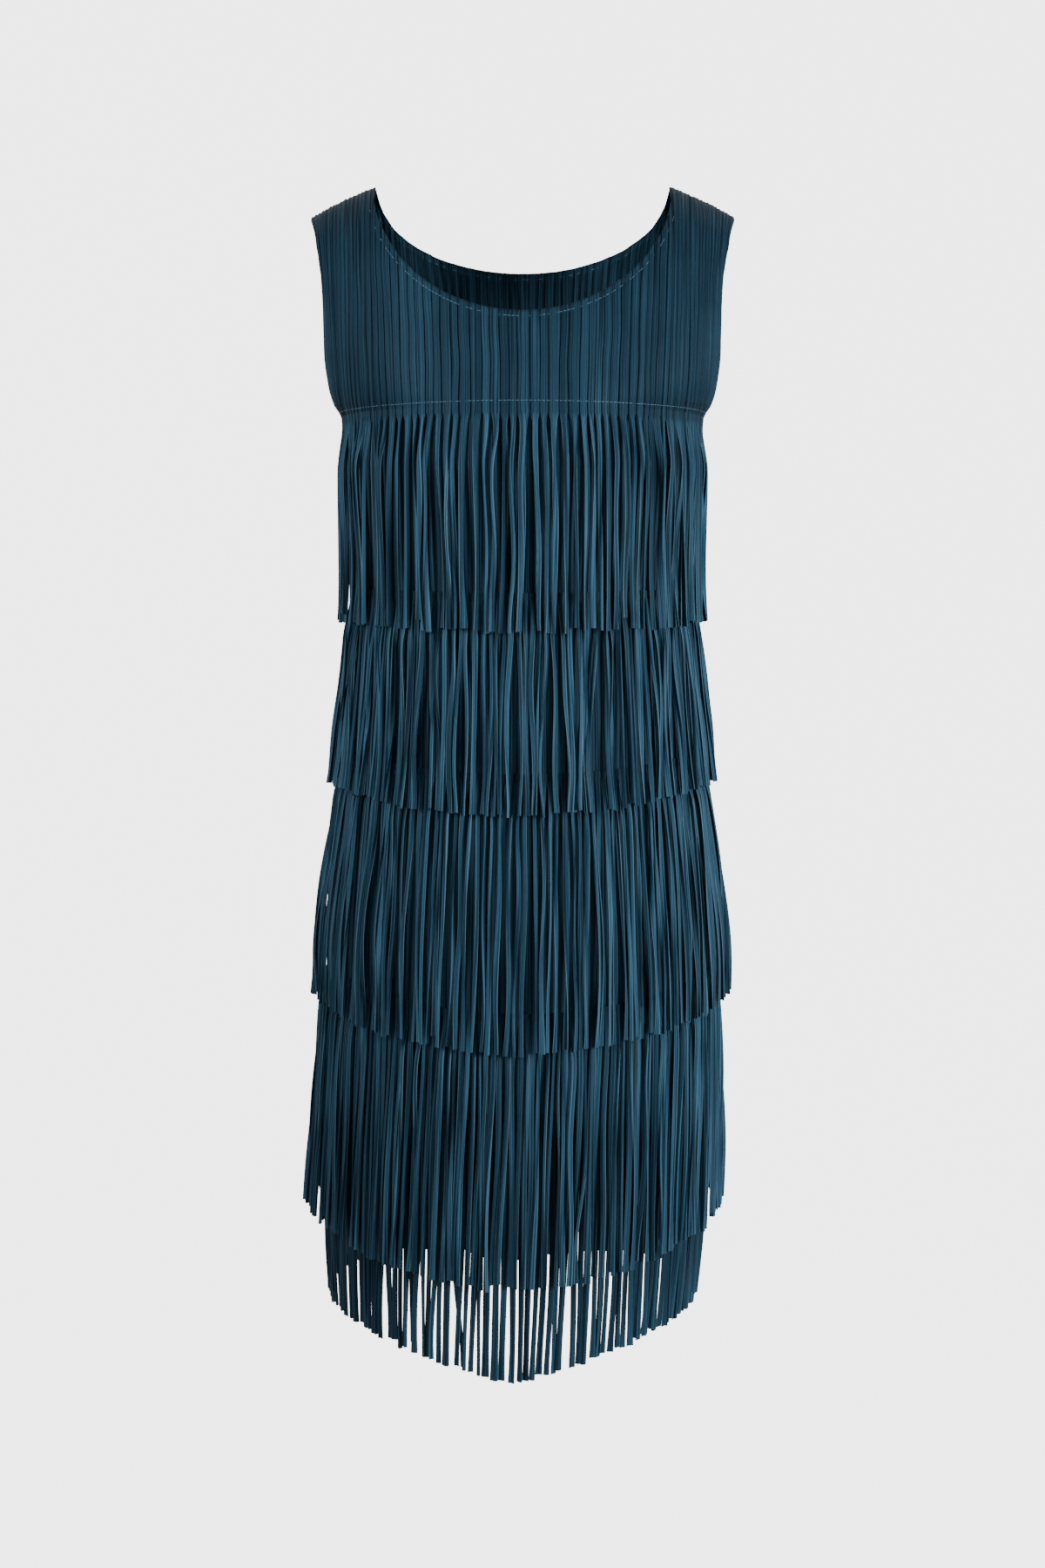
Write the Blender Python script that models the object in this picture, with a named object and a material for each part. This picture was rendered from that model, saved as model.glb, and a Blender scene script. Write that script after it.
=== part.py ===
"""A sleeveless shift dress in finely pleated cloth with five tiers of cut fringe, as it hangs when worn.

Metres, +Z up, the wearer's front towards -Y. The origin is midway between the two shoulder seams, where
the shoulders hold the dress up.
"""

import math

import bmesh
import bpy
from mathutils import Vector

# The cloth. A pleat is one crest and one trough.
WALL = 0.0012
PLEAT_RISE = 0.0012
YOKE_PLEATS = 62
SKIRT_PLEATS = 36
SEAM_GAP = 0.0003
# How far down the yoke its rows of points lie, as shares of the way from its top edge to its seam.
YOKE_LEVELS = (0.0, 0.12, 0.34, 0.62, 0.86, 1.0)

# The neckline is half an ellipse, scooped in front and shallow behind.
NECK_HALF_WIDTH = 0.118
NECK_TOP = 0.0124
NECK_DROP = {"front": 0.110, "back": 0.057}

# The yoke's pleats hang straight down over the middle share of their seam, which at the shoulders reaches
# STRAIGHT_WIDTH to each side. The others spread evenly over the rest of the shoulder, along the armhole.
STRAIGHT_SHARE = 0.45
STRAIGHT_WIDTH = 0.090

# The seams that part the cloth, as heights on the centre line.
SHOULDER = 0.035
YOKE_SEAM = -0.170
SKIRT_END = -0.713
SKIRT_FOLDS = (-0.220, -0.310, -0.448, -0.634)

# Level lines from the shoulder seam to the end of the fringe. A line rises from the centre to the side by
# "rise", and its depth runs from "edge" at the armhole or side seam to "front" or "back" at the centre. The
# fringe hangs a little to the wearer's right, which "shift" gives.
SECTION_COLUMNS = ("height", "rise", "shift", "half_width", "front_edge", "front", "back_edge", "back")
SECTIONS = (
    (0.035, -0.047, 0.000, 0.1700, 0.000, 0.0000, 0.000, 0.0000),
    (0.026, -0.044, 0.000, 0.1680, 0.024, 0.0300, 0.022, 0.0280),
    (0.002, -0.035, 0.000, 0.1630, 0.040, 0.0560, 0.038, 0.0500),
    (-0.040, -0.020, 0.000, 0.1575, 0.051, 0.0820, 0.048, 0.0720),
    (-0.085, -0.010, 0.000, 0.1550, 0.053, 0.1010, 0.050, 0.0870),
    (-0.120, -0.005, 0.000, 0.1550, 0.046, 0.1130, 0.044, 0.0960),
    (-0.148, -0.002, 0.000, 0.1530, 0.031, 0.1210, 0.030, 0.1020),
    (-0.161, -0.001, 0.000, 0.1500, 0.018, 0.1240, 0.018, 0.1040),
    (-0.170, 0.000, 0.000, 0.1460, 0.000, 0.1260, 0.000, 0.1055),
    (-0.220, 0.001, 0.000, 0.1425, 0.000, 0.1325, 0.000, 0.1065),
    (-0.310, 0.003, 0.000, 0.1385, 0.000, 0.1310, 0.000, 0.1050),
    (-0.448, 0.010, 0.000, 0.1455, 0.000, 0.1290, 0.000, 0.1110),
    (-0.634, 0.020, -0.001, 0.1610, 0.000, 0.1320, 0.000, 0.1210),
    (-0.713, 0.023, -0.003, 0.1600, 0.000, 0.1340, 0.000, 0.1220),
    (-0.849, 0.025, -0.007, 0.1570, 0.000, 0.1370, 0.000, 0.1240),
    (-0.960, 0.028, -0.010, 0.1500, 0.000, 0.1390, 0.000, 0.1260),
)
LINEAR_COLUMNS = ("front_edge", "back_edge")

# How finely a level line is measured, and how far off the points lie that a normal is worked out from.
LINE_STEPS = 36
NEARBY = 0.004

# The fringe. Each tier hangs in locks from a narrow band, and stands off the cloth more towards its ends.
LOCKS = 25
BAND = 0.008
NOTCH = 0.010
LOCK_SHARE = 0.72
RAGGED = 0.003
OVER_PLEATS = 0.0027
TIER_COLUMNS = ("seam", "length", "root_off", "tip_off", "side_flare", "bend")
TIERS = (
    (-0.170, 0.161, OVER_PLEATS, 0.0065, 0.004, -0.225),
    (-0.310, 0.160, OVER_PLEATS, 0.0070, 0.004, None),
    (-0.448, 0.208, OVER_PLEATS, 0.0070, 0.005, None),
    (-0.634, 0.207, OVER_PLEATS, 0.0085, 0.010, None),
    (SKIRT_END - SEAM_GAP, 0.207, -WALL / 2, 0.0010, 0.000, None),
)

# The colour and finish of the cloth.
TEAL = (0.012, 0.071, 0.118, 1.0)
CLOTH_ROUGHNESS = 0.6

SIDES = {"front": -1, "back": 1}


def table(columns, rows):
    """The rows as dictionaries."""
    return [dict(zip(columns, row)) for row in rows]


SECTION_ROWS = table(SECTION_COLUMNS, SECTIONS)


def slope_at(rows, k, name):
    """The slope of a column at row k, flat where the column turns, so that nothing overshoots."""
    if k in (0, len(rows) - 1):
        a, b = (rows[0], rows[1]) if k == 0 else (rows[-2], rows[-1])
        return (b[name] - a[name]) / (b["height"] - a["height"])
    before = (rows[k][name] - rows[k - 1][name]) / (rows[k]["height"] - rows[k - 1]["height"])
    after = (rows[k + 1][name] - rows[k][name]) / (rows[k + 1]["height"] - rows[k]["height"])
    if before * after <= 0:
        return 0.0
    return 2 * before * after / (before + after)


def section(height):
    """The sizes of the level line at a height on the centre line."""
    rows = SECTION_ROWS
    k = 0
    while k < len(rows) - 2 and height < rows[k + 1]["height"]:
        k += 1
    step = rows[k + 1]["height"] - rows[k]["height"]
    u = (height - rows[k]["height"]) / step
    found = {}
    for name in SECTION_COLUMNS[1:]:
        a, b = rows[k][name], rows[k + 1][name]
        if name in LINEAR_COLUMNS:
            found[name] = a + (b - a) * u
            continue
        ga, gb = slope_at(rows, k, name) * step, slope_at(rows, k + 1, name) * step
        found[name] = (
            a * (1 + 2 * u) * (1 - u) ** 2
            + ga * u * (1 - u) ** 2
            + b * u * u * (3 - 2 * u)
            + gb * u * u * (u - 1)
        )
    return found


def level_line(side, height):
    """A half of a level line, from the centre to the side, as points with the length covered at each."""
    s = section(height)
    edge, middle = s[side + "_edge"], s[side]
    points, lengths = [], [0.0]
    for k in range(LINE_STEPS + 1):
        angle = math.pi / 2 * k / LINE_STEPS
        depth = edge + (middle - edge) * math.cos(angle) + SEAM_GAP / 2
        points.append(
            Vector(
                (
                    s["half_width"] * math.sin(angle),
                    SIDES[side] * depth,
                    height + s["rise"] * math.sin(angle) ** 2,
                )
            )
        )
        if k:
            lengths.append(lengths[-1] + (points[k] - points[k - 1]).length)
    return points, lengths


def steps_along(lengths, share):
    """How many of the level line's steps a share of its length covers."""
    wanted = min(abs(share), 1.0) * lengths[-1]
    k = 1
    while k < LINE_STEPS and lengths[k] < wanted:
        k += 1
    return k - 1 + (wanted - lengths[k - 1]) / (lengths[k] - lengths[k - 1])


def on_figure(side, share, height):
    """A point of the cloth's middle surface.

    The share of the level line's length runs from -1 at one side seam or armhole to 1 at the other.
    """
    points, lengths = level_line(side, height)
    steps = steps_along(lengths, share)
    k = min(int(steps), LINE_STEPS - 1)
    point = points[k].lerp(points[k + 1], steps - k)
    point.x = math.copysign(point.x, share) + section(height)["shift"]
    return point


def outward(side, share, height, seam_across=False, seam_level=False):
    """The cloth's outward normal. On a seam it lies in the seam's plane, so that the panels meet flat."""
    right, left = min(share + NEARBY, 1.0), max(share - NEARBY, -1.0)
    across = on_figure(side, right, height) - on_figure(side, left, height)
    top = min(height + NEARBY / 10, SHOULDER)
    along = on_figure(side, share, top) - on_figure(side, share, height - NEARBY / 10)
    normal = across.cross(along)
    if normal.y * SIDES[side] < 0:
        normal = -normal
    if seam_across:
        normal.y = 0
    if seam_level:
        normal.z = 0
    return normal.normalized()


def share_of(i, columns):
    """How far across its panel column i lies, from -1 to 1."""
    return 2 * i / columns - 1


def width_at(side, share, height):
    """How far to the side a share of the level line's length reaches."""
    _, lengths = level_line(side, height)
    angle = math.pi / 2 * steps_along(lengths, share) / LINE_STEPS
    return section(height)["half_width"] * math.sin(angle)


def share_at(side, width, height):
    """The share of the level line's length that reaches so far to the side."""
    _, lengths = level_line(side, height)
    angle = math.asin(min(width / section(height)["half_width"], 1.0))
    steps = angle / (math.pi / 2) * LINE_STEPS
    k = min(int(steps), LINE_STEPS - 1)
    return (lengths[k] + (lengths[k + 1] - lengths[k]) * (steps - k)) / lengths[-1]


def as_cut(side, share, height):
    """The lower panels' pleats keep their share of the level line's length all the way down."""
    return share


def on_yoke(side, share, height):
    """The share that a pleat of the yoke has at a height, from the one that it has at the yoke's seam."""
    if abs(share) >= 1:
        return share
    at_seam = width_at(side, share, YOKE_SEAM)
    if abs(share) > STRAIGHT_SHARE:
        beyond = (abs(share) - STRAIGHT_SHARE) / (1 - STRAIGHT_SHARE)
        at_top = STRAIGHT_WIDTH + (section(SHOULDER)["half_width"] - STRAIGHT_WIDTH) * beyond
    else:
        at_top = STRAIGHT_WIDTH * at_seam / width_at(side, STRAIGHT_SHARE, YOKE_SEAM)
    narrow, wide = section(YOKE_SEAM)["half_width"], section(SHOULDER)["half_width"]
    spread = (section(height)["half_width"] - narrow) / (wide - narrow)
    return math.copysign(share_at(side, at_seam + (at_top - at_seam) * spread, height), share)


def at_side_seam(side, share, height):
    """Whether the point is where the front panel meets the back one, below the armhole."""
    return abs(share) >= 1 and section(height)[side + "_edge"] < SEAM_GAP


def top_of_yoke(side, share):
    """Where a pleat starts: at the shoulder seam, or at the neckline if that is lower."""
    high, low = SHOULDER, YOKE_SEAM

    def above_neckline(height):
        p = on_figure(side, on_yoke(side, share, height), height)
        inside = 1 - (p.x / NECK_HALF_WIDTH) ** 2
        if inside <= 0:
            return False
        return p.z > NECK_TOP - NECK_DROP[side] * math.sqrt(inside)

    if not above_neckline(high):
        return high
    for _ in range(40):
        middle = (high + low) / 2
        if above_neckline(middle):
            high = middle
        else:
            low = middle
    return (high + low) / 2


def cloth_material():
    """Dull teal polyester."""
    material = bpy.data.materials.new("pleated_cloth")
    material.use_nodes = True
    shader = material.node_tree.nodes["Principled BSDF"]
    shader.inputs["Base Color"].default_value = TEAL
    shader.inputs["Roughness"].default_value = CLOTH_ROUGHNESS
    shader.inputs["Metallic"].default_value = 0.0
    return material


def add_object(name, bm, material):
    """A finished mesh as an object of its own."""
    bmesh.ops.recalc_face_normals(bm, faces=bm.faces)
    if bm.calc_volume(signed=True) < 0:
        bmesh.ops.reverse_faces(bm, faces=bm.faces)
    mesh = bpy.data.meshes.new(name)
    bm.to_mesh(mesh)
    bm.free()
    mesh.materials.append(material)
    mesh.shade_smooth()
    mesh.set_sharp_from_angle(angle=math.radians(30))
    made = bpy.data.objects.new(name, mesh)
    bpy.context.scene.collection.objects.link(made)
    return made


def sheet_wall(columns, rows, outer_at, inner_at):
    """A closed wall: a grid laid on its outer points, with a copy of it on its inner points.

    It comes with each vertex's column, row, and whether it is inner.
    """
    bm = bmesh.new()
    bmesh.ops.create_grid(bm, x_segments=columns, y_segments=rows, size=0.5)
    outer = list(bm.verts)
    grown = bmesh.ops.extrude_face_region(bm, geom=list(bm.faces), use_keep_orig=True)
    inner = [item for item in grown["geom"] if isinstance(item, bmesh.types.BMVert)]
    cells = {}
    for group, point_at, is_inner in ((outer, outer_at, False), (inner, inner_at, True)):
        for v in group:
            i, j = round((v.co.x + 0.5) * columns), round((v.co.y + 0.5) * rows)
            cells[v] = (i, j, is_inner)
            v.co = point_at(i, j)
    return bm, cells


def pleated_panel(name, side, pleats, hang, levels, tops, bottom, level_rows, material):
    """A panel of pleated cloth between its two sides, from its top edge down to a level seam.

    hang gives a pleat's share at a height, levels are shares of the way down, tops has the height of each
    fold's top end, and level_rows are the rows that end flat against a level seam.
    """
    columns = 2 * pleats

    def place(i, j, lift):
        height = tops[i] + (bottom - tops[i]) * levels[j]
        share = hang(side, share_of(i, columns), height)
        on_shoulder = height >= SHOULDER
        normal = outward(
            side,
            share,
            height,
            seam_across=on_shoulder or at_side_seam(side, share, height),
            seam_level=j in level_rows,
        )
        fold = PLEAT_RISE * (1 if i % 2 else -1) if 0 < i < columns else 0.0
        return on_figure(side, share, height) + normal * (fold + lift)

    bm, _ = sheet_wall(
        columns,
        len(levels) - 1,
        lambda i, j: place(i, j, WALL / 2),
        lambda i, j: place(i, j, -WALL / 2),
    )
    return add_object(name, bm, material)


def yoke(side, material):
    """The yoke, from the shoulder seams and the neckline down to the first row of fringe."""
    tops = [top_of_yoke(side, share_of(i, 2 * YOKE_PLEATS)) for i in range(2 * YOKE_PLEATS + 1)]
    last = len(YOKE_LEVELS) - 1
    name = f"{side}_yoke"
    return pleated_panel(name, side, YOKE_PLEATS, on_yoke, YOKE_LEVELS, tops, YOKE_SEAM, (last,), material)


def skirt(side, material):
    """The tube of cloth that hangs from the yoke and carries the lower rows of fringe."""
    top = YOKE_SEAM - SEAM_GAP
    tops = [top] * (2 * SKIRT_PLEATS + 1)
    levels = [(top - height) / (top - SKIRT_END) for height in (top, *SKIRT_FOLDS, SKIRT_END)]
    ends = (0, len(levels) - 1)
    name = f"{side}_skirt"
    return pleated_panel(name, side, SKIRT_PLEATS, as_cut, levels, tops, SKIRT_END, ends, material)


def lock_levels(tier, lock):
    """The heights of a lock's cross-sections below its root. The last, its cut end, is a little uneven."""
    root = tier["seam"] - BAND
    tip = root - tier["length"] + RAGGED * math.sin(2.4 * lock)
    bends = [tier["bend"]] if tier["bend"] else []
    return [root - NOTCH, *bends, tip]


def stand_off(tier, share, height):
    """How far a lock's inner face hangs from the cloth's middle surface at a height."""
    fallen = max(0.0, (tier["seam"] - BAND - height) / tier["length"])
    tip_off = tier["tip_off"] + tier["side_flare"] * share**4
    return tier["root_off"] + (tip_off - tier["root_off"]) * fallen


def fringe(name, side, tier, material):
    """A band with its locks: each lock is drawn down from one face of the band's lower edge."""
    half_lock = LOCK_SHARE / LOCKS
    band_heights = (tier["seam"], tier["seam"] - BAND)

    def place(share, height, off):
        normal = outward(side, share, height, seam_across=at_side_seam(side, share, height))
        return on_figure(side, share, height) + normal * off

    def band_at(i, j, lift):
        return place(share_of(i, LOCKS), band_heights[j], tier["root_off"] + lift)

    bm, cells = sheet_wall(LOCKS, 1, lambda i, j: band_at(i, j, WALL), lambda i, j: band_at(i, j, 0.0))
    ends = [f for f in bm.faces if all(cells[v][1] == 1 for v in f.verts)]
    for end in ends:
        lock = min(cells[v][0] for v in end.verts)
        middle = share_of(lock + 0.5, LOCKS)
        corners = [(1 if cells[v][0] > lock else -1, 0.0 if cells[v][2] else WALL) for v in end.verts]
        face = end
        for height in lock_levels(tier, lock):
            face = bmesh.ops.extrude_discrete_faces(bm, faces=[face])["faces"][0]
            off = stand_off(tier, middle, height)
            for v, (hand, lift) in zip(face.verts, corners):
                v.co = place(middle + hand * half_lock, height, off + lift)
    return add_object(name, bm, material)


def clear_scene():
    for old in list(bpy.data.objects):
        bpy.data.objects.remove(old)


def main():
    clear_scene()
    cloth = cloth_material()
    for side in SIDES:
        yoke(side, cloth)
        skirt(side, cloth)
        for number, tier in enumerate(table(TIER_COLUMNS, TIERS), start=1):
            fringe(f"{side}_fringe_{number}", side, tier, cloth)


main()
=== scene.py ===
"""The looks of the fringed dress: pleated cloth, cut fringe, turned hems and stitches.

Metres, +Z up, the wearer's front towards -Y, as in the frame.
"""

import math

import bmesh
import bpy
import numpy as np
from mathutils import Matrix, Vector


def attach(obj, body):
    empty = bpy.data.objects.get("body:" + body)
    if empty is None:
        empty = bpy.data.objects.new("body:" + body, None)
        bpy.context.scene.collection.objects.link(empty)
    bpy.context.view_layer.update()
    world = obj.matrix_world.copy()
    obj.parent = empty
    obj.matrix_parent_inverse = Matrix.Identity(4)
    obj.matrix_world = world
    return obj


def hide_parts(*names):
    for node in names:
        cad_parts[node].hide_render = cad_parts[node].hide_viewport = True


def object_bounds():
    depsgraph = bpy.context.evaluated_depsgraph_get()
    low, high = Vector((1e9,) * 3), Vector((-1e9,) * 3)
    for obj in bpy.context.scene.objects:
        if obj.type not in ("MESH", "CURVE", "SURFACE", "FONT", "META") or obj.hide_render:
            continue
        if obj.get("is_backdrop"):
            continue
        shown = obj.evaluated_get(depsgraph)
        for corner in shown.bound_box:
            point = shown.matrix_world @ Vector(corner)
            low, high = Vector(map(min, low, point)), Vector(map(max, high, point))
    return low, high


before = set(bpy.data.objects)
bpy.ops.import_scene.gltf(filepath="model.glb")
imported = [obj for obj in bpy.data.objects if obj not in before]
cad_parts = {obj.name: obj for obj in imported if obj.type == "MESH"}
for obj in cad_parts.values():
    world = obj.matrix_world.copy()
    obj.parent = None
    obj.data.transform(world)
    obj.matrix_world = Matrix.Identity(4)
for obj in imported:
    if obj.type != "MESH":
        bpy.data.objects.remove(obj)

MM = 0.001
SIDES = {"front": -1, "back": 1}
BODY = "root"

# The worn dress as level lines from the shoulder seam to the hem, as in the solids. "rise" is how far a line
# climbs towards its sides and "shift" how far it lies to one side. "front" and "back" are how far its middle
# stands off the plane between them, and "front_edge" and "back_edge" how far its ends do, along the armhole.
SECTION_COLUMNS = ("height", "rise", "shift", "half_width", "front_edge", "front", "back_edge", "back")
SECTIONS = (
    (0.035, -0.047, 0.000, 0.1700, 0.000, 0.0000, 0.000, 0.0000),
    (0.026, -0.044, 0.000, 0.1680, 0.024, 0.0300, 0.022, 0.0280),
    (0.002, -0.035, 0.000, 0.1630, 0.040, 0.0560, 0.038, 0.0500),
    (-0.040, -0.020, 0.000, 0.1575, 0.051, 0.0820, 0.048, 0.0720),
    (-0.085, -0.010, 0.000, 0.1550, 0.053, 0.1010, 0.050, 0.0870),
    (-0.120, -0.005, 0.000, 0.1550, 0.046, 0.1130, 0.044, 0.0960),
    (-0.148, -0.002, 0.000, 0.1530, 0.031, 0.1210, 0.030, 0.1020),
    (-0.161, -0.001, 0.000, 0.1500, 0.018, 0.1240, 0.018, 0.1040),
    (-0.170, 0.000, 0.000, 0.1460, 0.000, 0.1260, 0.000, 0.1055),
    (-0.220, 0.001, 0.000, 0.1425, 0.000, 0.1325, 0.000, 0.1065),
    (-0.310, 0.003, 0.000, 0.1385, 0.000, 0.1310, 0.000, 0.1050),
    (-0.448, 0.010, 0.000, 0.1455, 0.000, 0.1290, 0.000, 0.1110),
    (-0.634, 0.020, -0.001, 0.1610, 0.000, 0.1320, 0.000, 0.1210),
    (-0.713, 0.023, -0.003, 0.1600, 0.000, 0.1340, 0.000, 0.1220),
    (-0.849, 0.025, -0.007, 0.1570, 0.000, 0.1370, 0.000, 0.1240),
    (-0.960, 0.028, -0.010, 0.1500, 0.000, 0.1390, 0.000, 0.1260),
)
SEAM_GAP = 0.3 * MM
SHOULDER = 0.035
YOKE_SEAM = -0.170
SKIRT_END = -0.713
NECK_HALF_WIDTH = 0.118
NECK_TOP = 0.0124
NECK_DROP = {"front": 0.110, "back": 0.057}

# The yoke's pleats hang straight down over the middle share of their seam, which at the shoulders reaches
# STRAIGHT_WIDTH to each side. The others spread evenly over the rest of the shoulder, along the armhole.
STRAIGHT_SHARE = 0.52
STRAIGHT_WIDTH = 0.112

# The cloth: heat-set pleats, each with a wide face, a narrow face, and a sharp valley before the next one.
# HEM_ROWS are the millimetres from a panel's upper edge to its first rows, close together for the turned hem.
CLOTH_THICKNESS = 0.45 * MM
PLEAT_RISE = 1.1 * MM
VALLEY_SHARE = 0.08
FACE_RISE = 0.4
YOKE_PLEATS = 68
SKIRT_PLEATS = 92
YOKE_ROWS = 52
SKIRT_ROWS = 22
HEM_ROWS = (0.0, 0.7, 2.0, 3.6, 4.6, 5.8, 8.0)
ARMHOLE_WAVE = 1.1 * MM
SHARP_FOLD = math.radians(22)

# The pleats of each panel: their pitch at the centre and at the side, how much single ones differ from it,
# where their crests lie and how often, and how much their depths differ. Each panel draws from its own seeds.
YOKE_PITCHES = (7.8, 5.0)
SKIRT_PITCHES = (5.8, 4.2)
TIER_PITCHES = (6.0, 5.6)
PITCH_SPREAD = (0.72, 1.28)
CREST_PLACES = (0.72, 0.28, 0.5)
CREST_ODDS = (0.6, 0.25, 0.15)
CREST_SPREAD = 0.07
DEPTH_SPREAD = (0.75, 1.15)
YOKE_SEED = 11
SKIRT_SEED = 12

# The cloth's unevenness: how far it slips, as a share of half a level line, its pleats' depth, and its waves.
SLIP_SHARE = 0.0035
UNEVEN_DEPTH = 0.2
WAVE_RISE = 0.5 * MM

# The turned neck hem: how much flatter its pleats lie, how far it ends below the edge, and how thick it is.
NECK_HEM_FLATTER = 0.6
NECK_HEM_DEPTH = 5.4 * MM
NECK_HEM_RISE = 0.35 * MM

# The skirt starts this far inside the yoke.
TUCKED_IN = 3.0 * MM

# How deep the painted shade is at the neck's cut edge, on the skirt behind its tiers, and under the tier
# above.
NECK_SHADE = 0.8
SKIRT_SHADE = 0.25
TIER_SHADE = 0.6

# The fringe. Each strand carries on one pleat. "root" and "tip" are how far it stands off the cloth, and
# "side_flare" how much further at the sides. "width" is how much of its pleat's cloth shows, "twist" how
# far it turns, "fold" and "fold_power" how soon it folds up, "cling" how close its group pulls together,
# "drift" how far the group leans, and "covered" how far down the tier above shades it.
BAND = 5 * MM
BAND_ROWS = 2
STRAND_ROWS = 26
ROW_SPACING = 1.6
TIER_COLUMNS = (
    "seam", "length", "strands", "root", "tip", "side_flare",
    "width", "twist", "fold", "fold_power", "cling", "drift", "covered",
)
TIERS = (
    (YOKE_SEAM, 0.164, 68, 0.0, 6.5 * MM, 4 * MM, 0.72, 0.80, 4 * MM, 1.2, 0.35, 2.2 * MM, 0.0),
    (-0.310, 0.163, 74, 1.2 * MM, 7.0 * MM, 4 * MM, 0.74, 1.0, 4 * MM, 1.2, 0.50, 2.2 * MM, 0.034),
    (-0.448, 0.211, 78, 1.2 * MM, 7.0 * MM, 5 * MM, 0.76, 1.0, 6 * MM, 1.2, 0.50, 2.2 * MM, 0.040),
    (-0.634, 0.210, 96, 1.2 * MM, 8.5 * MM, 10 * MM, 0.90, 0.60, 12 * MM, 1.2, 0.25, 2.0 * MM, 0.038),
    (SKIRT_END, 0.210, 92, 0.0, 2.0 * MM, 0 * MM, 1.00, 0.45, 135 * MM, 2.6, 0.08, 0.9 * MM, 0.260),
)

# The hem rises and falls: midway between the centre and each side its strands are shorter by this much.
HEM_LIFT = 11 * MM

# How the strands are cut and hang: the shares of groups of one to five, how much lengths differ, the few that
# are short, the few that stray near their ends, how each one sways, and how they lie over each other. Plain
# numbers here are millimetres, with the share of the strands first in the two rows for a few.
GROUP_SHARES = (0.28, 0.32, 0.22, 0.12, 0.06)
LENGTH_SPREAD = 1.6
SHORT_STRANDS = (0.05, 3, 9)
STRAY_STRANDS = (0.03, -9, 9)
OWN_DRIFT = 0.8
SWAY = (0.3, 1.3)
LEAN = (0.2, 1.2)
STAND = 2.2 * MM
LAYER = 1.2 * MM
LAYER_SPREAD = (-1.2, 1.4)
FREE_LENGTH = 40 * MM

# How a strand folds along its crest: how far its two faces turn, in degrees, and bend along their own
# creases, and how much fuller the strands at the sides are.
WIDE_FACE_TURN = (12, 36)
NARROW_FACE_TURN = (58, 112)
FACE_BEND = 0.5
FACE_CREASE = 0.45
FOLD_DEPTH = 3.2 * MM
FOLD_LIFT = 1.2 * MM
CRIMP_LIFT = 0.3 * MM
EDGE_CURL = 0.25 * MM
TIP_FLARE = 0.22
TURN_LENGTH = 45 * MM
SIDE_FULLNESS = 0.35

# The dyed cloth, from the painted shade deep in a fold to the painted highlight on its crest, and the painted
# highlight on its cut edges, how much brighter loose strands are painted as sheen, and the tint of the sheen.
# Then the thread from its dark to its pale ply, and the studio's white board.
FOLD_SHADE_TEAL = "0b1b27"
TEAL = "11232f"
CREST_HIGHLIGHT_TEAL = "1e3544"
CUT_EDGE_HIGHLIGHT = "4c6c7e"
LOOSE_PAINTED_SHEEN = 1.75
SHEEN = "9dbdd0"
DARK_THREAD = "254b60"
PALE_THREAD = "4f7a8e"
BOARD = "606060"

# The finest creases, pressed into each pleat's faces as a small bump and painted there as dark lines of
# painted shade with a painted highlight beside them, and how much those faces differ in painted light and
# shade.
CREASES_PER_PLEAT = 3.0
CREASE_LENGTH = 0.4
PLEAT_FACETS = 0.35
STRAND_FACETS = 0.85

# The stitching. Stitches lie on the crests or sink between them, by so many of their own radii and so often.
STITCH_DEPTHS = (0.4, -0.6, -1.6)
STITCH_ODDS = (0.55, 0.25, 0.2)
STITCH_LENGTH = 2.4 * MM
STITCH_PITCH = 3.3 * MM
STITCH_RADIUS = 0.2 * MM
NECK_STITCH_DROP = 4.6 * MM
SEAM_STITCH_RISE = 3.5 * MM

# The sheets are this much wider than the level lines that they cover, which the pleats draw up.
PLEATED_FULLNESS = 1.15

# The studio: a round wall, how much light it casts on the dress, and how bright it shows, as if it had
# lamps of its own. The floor lies well below the hem and curves up into the wall over a part of its rows.
WALL_LIGHT = 0.46
WALL_GLOW = 4.0
FLOOR_BELOW_HEM = 0.48
STUDIO_RADIUS = 3.4
STUDIO_CURVE = 1.4
STUDIO_WALL = 3.2
CURVE_STARTS = 0.4
CURVE_ENDS = 0.8

# The lamps: square softboxes, each with its place, aim, size, power in watts and beam in degrees.
LAMPS = (
    ("left_softbox", (-1.6, -1.2, 0.25), (0, 0, -0.22), 0.6, 2.8, 42),
    ("right_softbox", (1.6, -1.3, -0.2), (0, 0, -0.48), 0.6, 12.5, 76),
    ("top_softbox", (0, -1.2, 1.3), (0, 0, -0.3), 0.6, 1.0, 100),
    ("back_softbox", (0, 1.1, 1.9), (0, 0.05, -0.5), 1.0, 10, 140),
    ("low_back_softbox", (0, 2.3, -0.5), (0, 0, -0.45), 0.8, 11, 70),
)
SKY_LIGHT = 0.1

# The camera: level with the waist and tilted a little down.
CAMERA_PLACE = (0, -1.6, -0.29)
CAMERA_TILT = 83.58
CAMERA_LENS = 44.44


def table(columns, rows):
    """The rows as dictionaries."""
    return [dict(zip(columns, row)) for row in rows]


def ease(low, high, value):
    """A soft step from 0 to 1."""
    u = np.clip((value - low) / (high - low), 0, 1)
    return u * u * (3 - 2 * u)


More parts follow.
